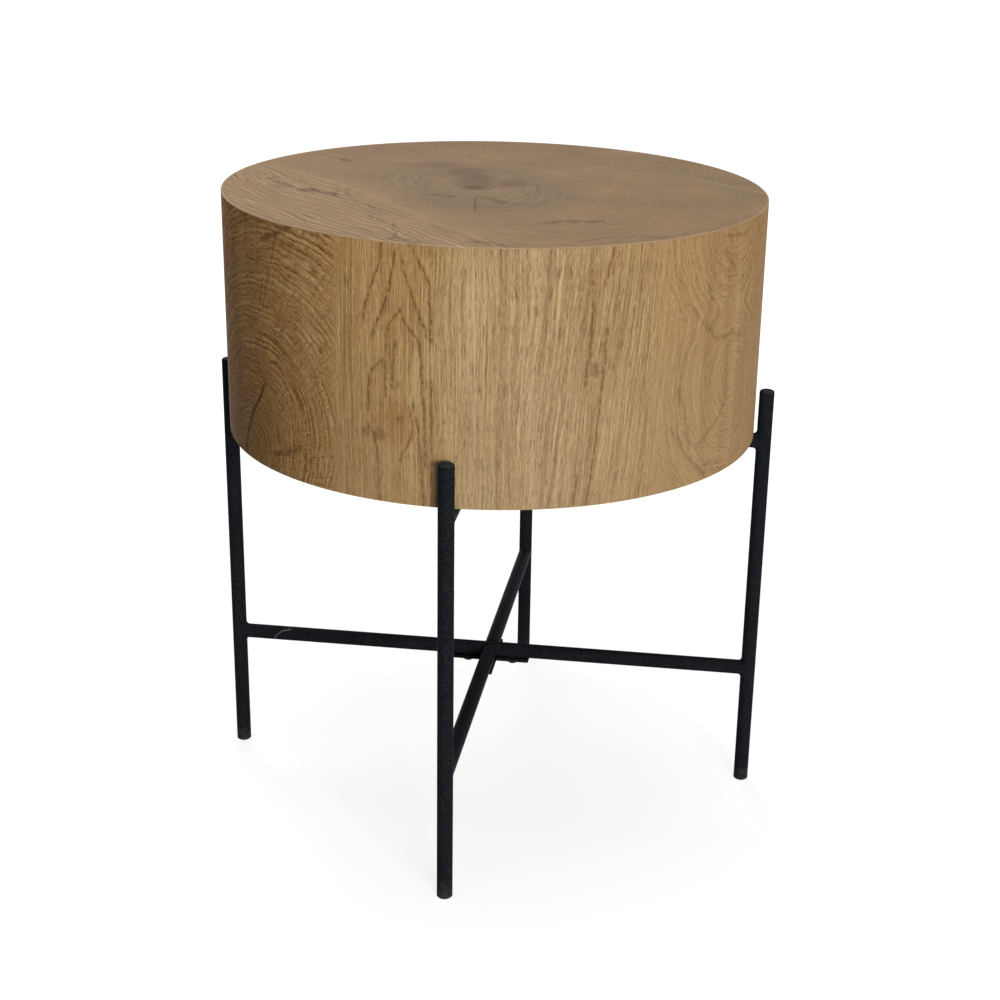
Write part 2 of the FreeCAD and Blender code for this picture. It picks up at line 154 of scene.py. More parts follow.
class Nodes:
    """The nodes of one material or of the world."""

    def __init__(self, tree):
        self.tree = tree

    def node(self, kind, settings=None, sockets=None, output=None):
        """Adds a node: its settings first, then its sockets' values or links."""
        made = self.tree.nodes.new("ShaderNode" + kind)
        for setting, chosen in (settings or {}).items():
            if setting == "stops":
                self._set_stops(made.color_ramp, chosen)
            elif setting == "curve":
                self._set_curve(made.mapping, chosen)
            else:
                setattr(made, setting, chosen)
        for identifier, given in (sockets or {}).items():
            socket = next(s for s in made.inputs if s.identifier == identifier)
            if isinstance(given, Tone):
                self.tree.links.new(given.socket, socket)
            else:
                socket.default_value = given
        outputs = [s for s in made.outputs if output in (None, s.identifier) and s.enabled]
        return Tone(self, outputs[0]) if outputs else None

    @staticmethod
    def _set_stops(ramp, stops):
        while len(ramp.elements) < len(stops):
            ramp.elements.new(0.5)
        for element, (position, colour) in zip(ramp.elements, stops):
            element.position = position
            element.color = (*colour, 1.0)

    @staticmethod
    def _set_curve(mapping, points):
        kept = mapping.curves[0].points
        while len(kept) < len(points):
            kept.new(0.5, 0.5)
        for point, location in zip(kept, points):
            point.location = location
        mapping.update()

    def math(self, operation, *terms):
        names = ("Value", "Value_001", "Value_002")
        return self.node("Math", {"operation": operation}, dict(zip(names, terms)))

    def vector(self, x, y, z):
        return self.node("CombineXYZ", None, {"X": x, "Y": y, "Z": z})

    def place(self):
        """The point on the surface, as x, y and z in millimetres."""
        point = self.node("TexCoord", None, None, "Object")
        axes = [self.node("SeparateXYZ", None, {"Vector": point}, axis) for axis in "XYZ"]
        return [axis / MM for axis in axes]

    def noise(self, vector, detail, roughness=0.5):
        sockets = {"Vector": vector, "Scale": 1.0, "Detail": detail, "Roughness": roughness}
        return self.node("TexNoise", {"noise_dimensions": "3D"}, sockets)

    def ease(self, tone, low, high, start=0.0, end=1.0):
        """The tone moved smoothly from start to end as it passes from low to high."""
        sockets = {"Value": tone, "From Min": low, "From Max": high,
                   "To Min": start, "To Max": end}
        return self.node("MapRange", {"interpolation_type": "SMOOTHSTEP"}, sockets)

    def ramp(self, tone, stops):
        return self.node("ValToRGB", {"stops": stops}, {"Fac": tone}, "Color")

    def mix(self, amount, under, over):
        sockets = {"Factor_Float": amount, "A_Color": under, "B_Color": over}
        return self.node("Mix", {"data_type": "RGBA"}, sockets, "Result_Color")

    def layers(self, colour, layers):
        """The colour with others laid over it in turn, each by its amount."""
        for amount, over in layers:
            colour = self.mix(amount, colour, rgba(*over))
        return colour

    def blend(self, amount, first, second):
        """A value that goes from first to second as the amount goes from 0 to 1."""
        sockets = {"Factor_Float": amount, "A_Float": first, "B_Float": second}
        return self.node("Mix", {"data_type": "FLOAT"}, sockets, "Result_Float")

    def bump(self, height, strength, distance_mm):
        sockets = {"Height": height, "Strength": strength, "Distance": distance_mm * MM}
        return self.node("Bump", None, sockets)

    def largest(self, *tones):
        """The largest of several values."""
        most = tones[0]
        for tone in tones[1:]:
            most = self.math("MAXIMUM", most, tone)
        return most


class Finish(Nodes):
    """One material of the table: a Principled shader and the nodes that feed it."""

    def __init__(self, name, **constants):
        self.material = bpy.data.materials.new(name)
        self.material.use_nodes = True
        super().__init__(self.material.node_tree)
        self.shader = self.tree.nodes["Principled BSDF"]
        for socket, number in constants.items():
            self.shader.inputs[socket.replace("_", " ")].default_value = number

    def feed(self, socket, tone):
        self.tree.links.new(tone.socket, self.shader.inputs[socket])


def rgb(red, green, blue):
    """A linear colour from 0 to 255 display values."""
    def linear(level):
        level /= 255
        return level / 12.92 if level <= 0.04045 else ((level + 0.055) / 1.055) ** 2.4
    return linear(red), linear(green), linear(blue)


def rgba(red, green, blue):
    return (*rgb(red, green, blue), 1.0)


def fibres(f, across, run, seed, length):
    """Pores, dark streaks, pale streaks and flecks of oak, stretched along run."""
    pore = f.noise(f.vector(across * 1.2, run * (2.8 / length), seed + 3.0), 1.0, 0.5)
    streak = f.noise(f.vector(across * 0.66, run * (0.42 / length), seed + 11.0), 5.0, 0.8)
    fleck = f.noise(f.vector(across * 1.15, run * (8.0 / length), seed + 17.0), 3.0, 0.7)
    return pore, f.ease(streak, 0.49, 0.40), f.ease(streak, 0.51, 0.60), fleck


def year_lines(f, grain, run, drift, seed, spacing, patch):
    """Early and late wood where grain counts millimetres from one growth ring to the next."""
    uneven = f.noise(f.vector(grain * 0.09, run * 0.004, drift + seed), 3.0) * 13.0
    year = f.math("FRACT", (grain + uneven) / spacing)
    early = f.ease(year, 0.48, 0.04) * f.ease(year, 0.0, 0.05)
    late = f.ease(year, 0.50, 0.80) * f.ease(year, 1.0, 0.93)
    shown = f.noise(f.vector(grain * 0.08, run / patch, drift + seed + 7.0), 4.0, 0.65)
    shown = f.ease(shown, 0.40, 0.58, 0.08, 1.0)
    return early * shown, late * shown


def grown_lines(f, along, height, lines):
    """Distance in millimetres from the nearest of some lines, each a run of points upwards."""
    nearest = None
    for points in lines:
        curve = [(up / LINE_RISE, (side / LINE_REACH + 1.0) / 2.0) for side, up in points]
        curve = [(0.0, curve[0][1])] + curve + [(1.0, curve[-1][1])]
        line = f.node("FloatCurve", {"curve": curve}, {"Value": height / LINE_RISE})
        away = f.math("ABSOLUTE", along + LINE_REACH - line * (2.0 * LINE_REACH))
        past = f.largest(height - points[-1][1], points[0][1] - height, 0.0)
        away = away + past * 0.7
        nearest = away if nearest is None else f.math("MINIMUM", nearest, away)
    return nearest


def polar(f, x, y, centre_x, centre_y, squash=1.0, lean=0.0):
    """Distance from a centre and the turn round it, for rings that are squashed and lean over."""
    up = y - centre_y
    aside = (x - centre_x - up * lean) / squash
    return f.math("SQRT", aside * aside + up * up), f.math("ARCTAN2", aside, up)


def crack(f, x, y, points, width):
    """A dark split that runs through the points, thickest in the middle."""
    parts = []
    for (x0, y0), (x1, y1) in zip(points, points[1:]):
        length = math.hypot(x1 - x0, y1 - y0)
        ux, uy = (x1 - x0) / length, (y1 - y0) / length
        run = (x - x0) * ux + (y - y0) * uy
        off = (x - x0) * uy - (y - y0) * ux
        past = f.largest(run - length, -run, 0.0)
        away = f.math("SQRT", off * off + past * past)
        parts.append(f.ease(away, width, width * 0.25))
    return f.largest(*parts)


def spot(f, x, y, centre_x, centre_y, reach_x, reach_y):
    """1 in the middle of a soft oval and 0 outside it."""
    aside, up = (x - centre_x) / reach_x, (y - centre_y) / reach_y
    return f.ease(aside * aside + up * up, 1.0, 0.0)


# Hearts of the ring figures: on the side as (round the drum, up from its underside), on the top
# as (x, y).
END_GRAIN_HEART = (-194.5, 2.0)
CROTCH_HIGH_HEART = (240.0, 188.0)
CROTCH_LOW_HEART = (238.0, 72.0)
TOP_HEART = (-16.0, -2.0)

# Growth lines are drawn on a field this high and this far to each side of the front.
LINE_RISE = 200.0
LINE_REACH = 200.0

# Single growth lines of the side's long grain, as (round the drum, up from its underside).
GROWTH_LINES = (
    [(-16.5, 30.0), (-17.0, 66.0), (-18.8, 84.0), (-19.4, 101.0), (-20.5, 112.5), (-24.5, 124.5),
     (-28.0, 128.0), (-34.3, 141.0)],
    [(-58.9, 66.0), (-58.3, 84.0), (-57.7, 93.0), (-46.3, 107.0), (-44.0, 122.8), (-41.7, 132.0),
     (-34.5, 141.0)],
    [(-16.0, 122.0), (-17.0, 128.6), (-21.0, 137.7), (-25.7, 151.5), (-29.7, 161.8),
     (-32.0, 175.0)],
    [(-12.5, 120.0), (-12.5, 134.3), (-13.0, 148.0), (-14.2, 160.6), (-20.5, 174.4),
     (-25.7, 187.0)],
    [(-55.0, 120.0), (-53.0, 127.4), (-45.0, 146.9), (-40.6, 167.5), (-37.0, 183.0)],
    [(-62.0, 132.0), (-55.4, 157.0), (-49.7, 171.0), (-48.0, 187.0)],
    [(-12.0, 0.0), (-11.5, 40.0), (-12.5, 92.0)],
    [(-51.0, 0.0), (-50.9, 20.9), (-51.4, 32.3), (-55.4, 49.5), (-60.0, 58.0)],
    [(-17.7, 0.0), (-20.0, 36.0), (-22.2, 61.0), (-25.0, 76.0)],
    [(-34.8, 32.0), (-28.0, 47.2), (-25.7, 61.0), (-28.0, 72.0)],
    [(-40.5, 84.0), (-40.0, 104.0), (-38.5, 116.0)],
    [(-45.6, 78.0), (-45.8, 96.0), (-46.0, 104.0)],
    [(98.0, 0.0), (103.0, 38.0), (107.0, 82.0), (109.8, 129.0)],
    [(107.5, 160.0), (111.0, 174.0), (114.0, 187.0)],
    [(95.0, 89.0), (98.0, 117.0), (98.4, 171.0)],
    [(89.0, 2.0), (90.5, 24.0)],
)

# Curved dark lines of the crotch figure on the right, as (round the drum, up).
CURLED_LINES = (
    [(184.6, 134.0), (197.0, 120.0), (215.0, 106.0), (233.0, 107.0), (249.0, 102.0)],
    [(197.0, 152.0), (206.0, 137.0)],
    [(217.0, 171.0), (233.0, 157.0)],
    [(230.0, 99.0), (231.0, 57.0), (222.0, 45.0), (195.0, 27.0)],
    [(172.0, 76.0), (181.0, 57.0), (188.0, 36.0), (195.0, 27.0)],
    [(167.6, 48.0), (188.0, 20.0), (208.0, 4.0)],
    [(218.0, 181.0), (242.0, 178.0), (260.0, 182.0)],
    [(206.0, 12.0), (222.0, 9.0)],
)


def long_grain(f, along, height, sway, jitter):
    """Upright fibres and growth lines, nearly straight at the front and arched at the back."""
    lean = height * f.ease(along, 30.0, 95.0, 0.0, 0.10)
    across = along + sway * 6.0 - lean + 36.0
    strands = fibres(f, across + jitter * 0.4, height, 1.0, 38.0)
    arch, arch_late = year_lines(f, across + jitter * 2.0, height, 4.0, 1.0, 7.5, 60.0)

    fold = along + 478.0 + sway * 30.0
    vault = f.math("SQRT", fold * fold + 90.0) + height * 0.24 + jitter * 5.0
    vault, vault_late = year_lines(f, vault, height, 9.0, 15.0, 8.0, 40.0)
    in_back = f.ease(along, -342.0, -362.0)
    return (*strands, f.blend(in_back, arch * 0.35, vault * 0.8),
            f.blend(in_back, arch_late * 0.6, vault_late))


def end_grain(f, along, height, sway, jitter, grit):
    """Grain round the heart low on the left, then its pale rays, dark rays and specks."""
    radius, turn = polar(f, along, height, *END_GRAIN_HEART, 0.86, 0.27)
    radius = radius + sway * 14.0 + jitter * 4.0 + grit * 1.8
    strands = fibres(f, radius, turn * 90.0, 20.0, 16.0)
    ring, ring_late = year_lines(f, radius, turn * 90.0, 0.0, 20.0, 4.6, 42.0)
    grouped = f.largest(f.ease(f.math("ABSOLUTE", radius - 88.0), 20.0, 6.0),
                        f.ease(radius, 140.0, 168.0), f.ease(radius, 46.0, 30.0))
    rays = f.noise(f.vector(turn * 45.0, radius * 0.05, 31.0), 3.0, 0.6)
    specks = f.noise(f.vector(radius * 0.8, turn * 130.0, 51.0), 2.0, 0.6)
    return ((*strands, ring * f.blend(grouped, 0.65, 1.3), ring_late),
            f.ease(rays, 0.54, 0.68), f.ease(rays, 0.46, 0.34), f.ease(specks, 0.55, 0.68))


def crotch_figure(f, along, height, sway, jitter):
    """Faint rings round two hearts, one above the other, on the right."""
    high_radius, high_turn = polar(f, along, height, *CROTCH_HIGH_HEART)
    low_radius, low_turn = polar(f, along, height, *CROTCH_LOW_HEART, 0.8)
    figure = f.math("SMOOTH_MIN", high_radius, low_radius, 22.0)
    figure = figure + sway * 16.0 + jitter * 6.0
    arc = high_turn * 60.0 + low_turn * 30.0
    curl, curl_late = year_lines(f, figure, arc, 0.0, 40.0, 7.0, 25.0)
    return (*fibres(f, figure, arc, 40.0, 20.0), curl * 0.42, curl_late * 0.45)


def side_marks(f, wobbly):
    """The side's split, its checks, the crotch's curved lines and the dark smudges."""
    split = crack(f, *wobbly, [(-198.6, 0.0), (-193.4, 16.2), (-181.0, 38.1), (-169.5, 51.6),
                               (-161.2, 64.1)], 2.0)
    check = f.largest(crack(f, *wobbly, [(-150.8, 14.0), (-136.2, 17.2), (-119.6, 25.6)], 3.0),
                      crack(f, *wobbly, [(-161.0, 171.0), (-126.0, 186.0)], 2.6),
                      *[crack(f, *wobbly, points, 2.6) * 0.5 for points in CURLED_LINES])
    smudge = f.largest(spot(f, *wobbly, -60.6, 50.6, 4.0, 6.0),
                       spot(f, *wobbly, -51.5, 49.0, 6.0, 6.0),
                       spot(f, *wobbly, -36.0, 63.0, 3.5, 2.5),
                       spot(f, *wobbly, 101.8, 101.0, 3.0, 9.0))
    return f.largest(split, check * 0.5, smudge * 0.45)


def side_oak_laminate():
    """The side's oak: long grain, with end grain on the left and a crotch on the right."""
    f = Finish("side_oak_laminate", Specular_IOR_Level=0.02)
    x, y, z = f.place()
    along = f.math("ARCTAN2", x, -y) * DRUM_RADIUS
    height = z - DRUM_BOTTOM
    sway = f.noise(f.vector(along * 0.02, height * 0.012, 3.0), 2.0) - 0.5
    jitter = f.noise(f.vector(along * 0.11, height * 0.07, 5.0), 2.0) - 0.5
    tremor = f.noise(f.vector(along * 0.5, height * 0.25, 8.0), 2.0) - 0.5
    grit = f.noise(f.vector(along * 1.3, height * 1.3, 14.0), 1.0) - 0.5

    # each figure's stretch of the side, and the grain that they make together
    edge = along + jitter * 10.0 + grit * 8.0
    in_end = f.ease(edge, -80.0, -92.0) * f.ease(edge, -350.0, -338.0)
    edge = along + sway * 60.0
    in_curl = f.ease(edge, 138.0, 176.0) * f.ease(edge, 400.0, 350.0)
    straight = long_grain(f, along, height, sway, jitter)
    ringed, ray, ray_shade, speck = end_grain(f, along, height, sway, jitter, grit)
    curled = crotch_figure(f, along, height, sway, jitter)
    pore, dark, pale, fleck, early, late = (
        f.blend(in_curl, f.blend(in_end, one, two), three)
        for one, two, three in zip(straight, ringed, curled))
    early = early * f.ease(pore, 0.40, 0.56, 0.45, 1.0)
    pore = f.ease(pore, 0.57, 0.66)
    calm = f.blend(in_curl, f.blend(in_end, 0.75, 1.0), 0.5)

    # single growth lines of the long grain
    drawn = along + jitter * 3.0 + tremor * 1.8 + grit * 2.2
    drawn = grown_lines(f, drawn, height, GROWTH_LINES)
    dashes = f.noise(f.vector(along * 0.45, height * 0.2, 27.0), 3.0, 0.65)
    drawn_edge = f.ease(drawn, 1.2, 0.3) * f.ease(dashes, 0.40, 0.54, 0.2, 1.0)
    drawn_band = f.ease(drawn, 3.6, 0.6) * f.ease(dashes, 0.36, 0.6, 0.4, 1.0)
    beside = spot(f, along + jitter * 4.0, height, -23.5, 92.0, 4.5, 42.0)

    # the colour round the drum: its dark stretch on the left is partly the end grain's own darker
    # colour and partly painted shade, where the side turns away from the light
    tint_and_painted_shade = f.ramp((along + sway * 50.0) / LAMINATE_LENGTH + 0.5, [
        (0.00, rgb(166, 130, 88)), (0.22, rgb(164, 126, 82)), (0.27, rgb(112, 66, 18)),
        (0.305, rgb(130, 82, 30)), (0.34, rgb(152, 103, 48)), (0.39, rgb(162, 115, 61)),
        (0.44, rgb(171, 130, 81)), (0.486, rgb(171, 135, 88)), (0.51, rgb(175, 147, 109)),
        (0.55, rgb(163, 135, 100)), (0.60, rgb(162, 131, 92)), (0.70, rgb(172, 135, 93)),
        (0.78, rgb(172, 136, 93)), (1.00, rgb(166, 130, 88))])
    cloud = f.noise(f.vector(along * 0.045, height * 0.0012, 9.0), 3.0, 0.6)
    # painted light: the side is made paler towards its underside, evening out light that falls
    # off downwards
    low = f.ease(height, 190.0, 0.0) * (1.0 - in_end)

    # the heartwood, the knot and the single dark marks
    heartwood = spot(f, along, height, -205.0, 26.0, 78.0, 80.0)
    wobbly = (along + jitter * 6.0 + tremor * 4.0 + grit * 4.0,
              height + jitter * 6.0 + tremor * 4.0 - grit * 4.0)
    knot = spot(f, *wobbly, -38.0, 60.0, 19.0, 22.0)
    marks = side_marks(f, wobbly) * f.ease(dashes, 0.34, 0.50, 0.45, 1.0)

    colour = f.layers(tint_and_painted_shade, [
        (f.ease(cloud, 0.52, 0.34) * 0.32, (124, 88, 52)),
        (f.ease(cloud, 0.52, 0.68) * 0.34, (206, 176, 132)),
        (pale * f.blend(in_curl, 0.52, 0.26), (208, 180, 136)),
        (dark * f.blend(in_curl, 0.46, 0.26), (120, 87, 54)),
        (late * f.blend(in_end, 0.25, 0.44), (214, 178, 122)),
        (ray * in_end * 0.30, (204, 166, 112)),
        (ray_shade * in_end * 0.45, (96, 64, 34)),
        (f.ease(fleck, 0.50, 0.66) * calm * 0.34, (214, 188, 146)),
        (f.ease(fleck, 0.50, 0.34) * calm * 0.34, (108, 76, 44)),
        (drawn_band * 0.34, (128, 86, 48)),
        (early * 0.68, (92, 58, 28)),
        (beside * 0.35, (206, 176, 130)),
        (drawn_edge * 0.68, (94, 56, 26)),
        (pore * calm * 0.56, (82, 52, 28)),
        (speck * in_end * 0.50, (84, 52, 24)),
        # painted light low on the side
        (low * 0.08, (224, 202, 166)),
        (heartwood * 0.30, (88, 54, 28)),
        (knot * 0.30, (142, 84, 44)),
        (marks * 0.94, (56, 26, 8))])
    f.feed("Base Color", colour)
    f.feed("Roughness", f.ease(pore + early * 0.5, 0.0, 1.0, 0.58, 0.75))
    f.feed("Normal", f.bump(pale * 0.3 - pore - early * 0.2 - marks, 0.3, 0.06))
    return f.material


# Dark lines and short smears of the top's figure, as (x, y).
TOP_LINES = (
    [(-112.0, -30.0), (-104.0, -60.0), (-86.0, -88.0), (-60.0, -118.0)],
    [(-119.0, -36.0), (-112.0, -64.0), (-98.0, -84.0)],
    [(-72.0, -128.0), (-52.0, -152.0), (-38.0, -196.0)],
    [(-170.0, 106.0), (-150.0, 92.0), (-138.0, 78.0)],
    [(-152.0, -16.0), (-134.0, -32.0)],
    [(84.0, -176.0), (98.0, -160.0), (122.0, -150.0), (140.0, -150.0)],
    [(-46.0, 130.0), (-32.0, 116.0)],
)
TOP_SMEARS = (
    [(54.0, -122.0), (70.0, -112.0), (92.0, -107.0)],
    [(-176.0, -12.0), (-156.0, -40.0)],
    [(-132.0, -52.0), (-112.0, -60.0)],
    [(-4.0, -40.0), (14.0, -58.0)],
    [(-40.0, -42.0), (-30.0, -46.0)],
    [(-40.0, -196.0), (-24.0, -206.0)],
    [(14.0, -190.0), (34.0, -200.0)],
    [(-142.0, 86.0), (-134.0, 80.0)],
)


def heart_rings(f, x, y, sway, jitter, tremor):
    """Grain round the top's heart, then the distance from it and how clearly the rings show."""
    radius, turn = polar(f, x, y, *TOP_HEART, 0.85, -0.25)
    radius = radius + sway * 50.0 + jitter * 8.0 + tremor * 2.0
    shown = f.largest(f.ease(radius, 130.0, 60.0, 0.25, 1.0), f.ease(y, -70.0, -130.0) * 0.9)
    ring, ring_late = year_lines(f, radius, turn * 80.0, 0.0, 3.0, 7.0, 40.0)
    strands = fibres(f, radius, turn * 80.0, 3.0, 22.0)
    return (*strands, ring * shown * 0.5, ring_late * shown * 0.5), radius, shown


def aslant_grain(f, x, y, sway, jitter):
    """Long grain that runs aslant and parts round the left knot, then the distance across it."""
    cross = x * 0.73 + y * 0.68 + 105.0
    run = x * 0.68 - y * 0.73
    parting = f.ease(f.math("ABSOLUTE", run + 58.0), 110.0, 10.0)
    parting = parting * f.ease(f.math("ABSOLUTE", cross + 25.0), 90.0, 0.0)
    flow = cross + parting * 12.0 + sway * 26.0 + jitter * 5.0
    strands = fibres(f, flow, run, 60.0, 50.0)
    return (*strands, *year_lines(f, flow, run, 0.0, 60.0, 6.0, 60.0)), cross


def top_oak_laminate():
    """The top's oak: end grain round a dark heart, with aslant long grain on the left."""
    f = Finish("top_oak_laminate", Specular_IOR_Level=0.04)
    x, y, _ = f.place()
    sway = f.noise(f.vector(x * 0.011, y * 0.011, 2.0), 2.0) - 0.5
    jitter = f.noise(f.vector(x * 0.05, y * 0.05, 6.0), 2.0) - 0.5
    tremor = f.noise(f.vector(x * 0.22, y * 0.22, 8.0), 3.0, 0.6) - 0.5
    wobbly = (x + jitter * 10.0 + tremor * 5.0, y + jitter * 10.0 + tremor * 5.0)

    ringed, radius, shown = heart_rings(f, x, y, sway, jitter, tremor)
    swept, cross = aslant_grain(f, x, y, sway, jitter)
    on_left = f.ease(cross + sway * 30.0 + jitter * 30.0, 34.0, -30.0)
    pore, dark, pale, fleck, early, late = (f.blend(on_left, one, two)
                                            for one, two in zip(ringed, swept))
    early = early * f.ease(pore, 0.42, 0.58, 0.4, 1.0)
    bold = f.blend(on_left, shown, 1.9)
    pore = f.ease(pore, 0.60, 0.70)

    # the plain colour and its patches
    cloud = f.noise(f.vector(x * 0.018, y * 0.018, 12.0), 3.0, 0.6)
    plain = f.ramp(cloud, [(0.3, rgb(126, 101, 74)), (0.5, rgb(134, 108, 80)),
                           (0.7, rgb(142, 115, 85))])
    halo = f.ease(f.math("ABSOLUTE", radius - 70.0), 42.0, 8.0) + f.ease(radius, 110.0, 50.0)
    green = f.largest(spot(f, *wobbly, -110.0, 22.0, 18.0, 26.0),
                      spot(f, *wobbly, 70.0, -26.0, 26.0, 18.0),
                      crack(f, *wobbly, [(130.0, 118.0), (165.0, 62.0), (192.0, 18.0)], 22.0))
    blush = f.largest(spot(f, *wobbly, -58.0, 78.0, 30.0, 20.0) * 0.6,
                      crack(f, *wobbly, [(-36.0, 60.0), (-24.0, 34.0), (-15.0, 4.0)], 22.0),
                      spot(f, *wobbly, -54.0, 38.0, 14.0, 14.0) * 0.5,
                      spot(f, *wobbly, 10.0, 16.0, 18.0, 20.0),
                      spot(f, *wobbly, 36.0, -60.0, 22.0, 16.0) * 0.35)

    # single marks: pale streaks, dark lines, smears with two knots, a split and a painted
    # highlight along the rim
    ragged = f.noise(f.vector(x * 0.16, y * 0.16, 21.0), 4.0, 0.7)
    ragged = f.ease(ragged, 0.40, 0.56, 0.15, 1.0)
    glow = f.largest(crack(f, *wobbly, [(-190.0, 48.0), (-140.0, 0.0), (-95.0, -45.0),
                                        (-30.0, -128.0)], 6.0),
                     crack(f, *wobbly, [(146.0, 78.0), (206.0, 30.0)], 6.0))
    lines = f.largest(*[crack(f, *wobbly, points, 2.4) for points in TOP_LINES])
    smears = f.largest(*[crack(f, *wobbly, points, 7.0) * 0.8 for points in TOP_SMEARS],
                       spot(f, *wobbly, -136.0, -47.0, 11.0, 11.0) * 1.3,
                       spot(f, *wobbly, -16.0, -7.0, 12.0, 10.0) * 1.3)
    split = crack(f, x + tremor * 3.0, y, [(-9.0, -46.0), (-5.0, -74.0), (-2.0, -92.0)], 1.3)
    # painted highlight: a pale band just inside the top's edge
    rim_highlight = f.ease(f.math("SQRT", x * x + y * y), DRUM_RADIUS - 1.8, DRUM_RADIUS - 0.6)

    colour = f.layers(plain, [
        (on_left * 0.30, (156, 128, 96)),
        (f.ease(y, 40.0, 170.0) * 0.18, (94, 74, 54)),
        (halo * (1.0 - on_left) * 0.24, (98, 86, 66)),
        (green * 0.28, (104, 96, 74)),
        (blush * 0.58, (82, 60, 48)),
        (pale * bold * 0.24, (176, 149, 114)),
        (dark * bold * 0.22, (98, 76, 54)),
        (late * bold * 0.26, (184, 156, 120)),
        (f.ease(fleck, 0.50, 0.66) * 0.12, (184, 158, 124)),
        (f.ease(fleck, 0.50, 0.34) * 0.12, (94, 74, 52)),
        (early * 0.40, (92, 70, 46)),
        (pore * 0.22, (76, 58, 38)),
        (glow * 0.12, (190, 164, 128)),
        (lines * ragged * 0.50, (78, 56, 38)),
        (smears * ragged * 0.66, (68, 46, 38)),
        (split * 0.5, (60, 40, 28)),
        (rim_highlight * 0.40, (196, 170, 134))])
    f.feed("Base Color", colour)
    f.feed("Roughness", f.ease(pore + early, 0.0, 1.0, 0.55, 0.7))
    f.feed("Normal", f.bump(pale * 0.3 - pore - early * 0.4, 0.2, 0.05))
    return f.material


def black_powder_coat():
    f = Finish("black_powder_coat", Specular_IOR_Level=0.005)
    x, y, z = f.place()
    peel = f.noise(f.vector(x * 0.8, y * 0.8, z * 0.8), 4.0, 0.7)
    patch = f.noise(f.vector(x * 0.05, y * 0.05, z * 0.03), 3.0)
    coat = f.ramp(patch, [(0.3, (0.0115, 0.0136, 0.0178)), (0.7, (0.0150, 0.0172, 0.0220))])
    coat = f.mix(f.ease(peel, 0.54, 0.36) * 0.75, coat, (0.003, 0.004, 0.006, 1.0))
    coat = f.mix(f.ease(peel, 0.52, 0.66) * 0.60, coat, (0.030, 0.032, 0.036, 1.0))
    blotch = f.noise(f.vector(x * 0.22, y * 0.22, z * 0.16), 4.0, 0.65)
    # worn paler paint near the feet, and a painted highlight on the rounded top of each leg
    foot_wear_and_top_highlight = f.ease(z + (blotch - 0.5) * 50.0, 17.0, 1.0)
    foot_wear_and_top_highlight = f.largest(foot_wear_and_top_highlight, f.ease(z, LEG_TOP - 1.6, LEG_TOP - 0.4) * 0.8)
    coat = f.mix(foot_wear_and_top_highlight * 0.7, coat, (0.045, 0.045, 0.047, 1.0))
    scuff = crack(f, x, z, [(-187.5, 98.0), (-185.0, 104.5), (-180.5, 108.2),
                            (-173.0, 109.8)], 0.8)
    coat = f.mix(scuff * f.ease(y, 0.0, -2.0) * 0.6, coat, (0.16, 0.16, 0.15, 1.0))
    f.feed("Base Color", coat)
    f.feed("Roughness", f.ease(peel, 0.3, 0.7, 0.34, 0.46))
    f.feed("Normal", f.bump(peel, 0.35, 0.12))
    return f.material


def black_oxide():
    f = Finish("black_oxide", Metallic=0.6)
    x, y, z = f.place()
    grime = f.noise(f.vector(x * 0.6, y * 0.6, z * 0.6), 3.0)
    f.feed("Base Color", f.ramp(grime, [(0.3, (0.010, 0.010, 0.012)),
                                        (0.7, (0.030, 0.030, 0.033))]))
    f.feed("Roughness", f.ease(grime, 0.3, 0.7, 0.3, 0.5))
    f.feed("Normal", f.bump(grime, 0.2, 0.05))
    return f.material


def raw_fibreboard():
    f = Finish("raw_fibreboard", Specular_IOR_Level=0.15)
    x, y, z = f.place()
    chips = f.noise(f.vector(x * 1.1, y * 1.1, z * 1.1), 5.0, 0.7)
    cloud = f.noise(f.vector(x * 0.02, y * 0.02, z * 0.02), 3.0)
    f.feed("Base Color", f.ramp(chips * 0.7 + cloud * 0.3,
                                [(0.3, rgb(140, 110, 78)), (0.7, rgb(178, 148, 112))]))
    f.feed("Roughness", f.ease(chips, 0.3, 0.7, 0.85, 0.7))
    f.feed("Normal", f.bump(chips, 0.3, 0.1))
    return f.material


def turned_brass():
    f = Finish("turned_brass", Metallic=1.0)
    x, y, z = f.place()
    lines = f.noise(f.vector(x * 0.3, y * 0.3, z * 6.0), 2.0)
    f.feed("Base Color", f.ramp(lines, [(0.3, (0.55, 0.38, 0.15)), (0.7, (0.66, 0.48, 0.22))]))
    f.feed("Roughness", f.ease(lines, 0.3, 0.7, 0.25, 0.4))
    f.feed("Normal", f.bump(lines, 0.2, 0.05))
    return f.material


# ------------------------------------------------------------------ meshes

class Form:
    """Points, in millimetres, and faces of one piece."""

    def __init__(self):
        self.points = []
        self.faces = []

    def skin(self, rings):
        """Joins equal rings of points with quads and closes the two ends."""
        first = len(self.points)
        count = len(rings[0])
        for ring in rings:
            self.points.extend(ring)
        end = first + (len(rings) - 1) * count
        for here in range(first, end, count):
            there = here + count
            for i in range(count):
                j = (i + 1) % count
                self.faces.append((here + i, here + j, there + j, there + i))
        self.faces.append(tuple(first + i for i in reversed(range(count))))
        self.faces.append(tuple(end + i for i in range(count)))


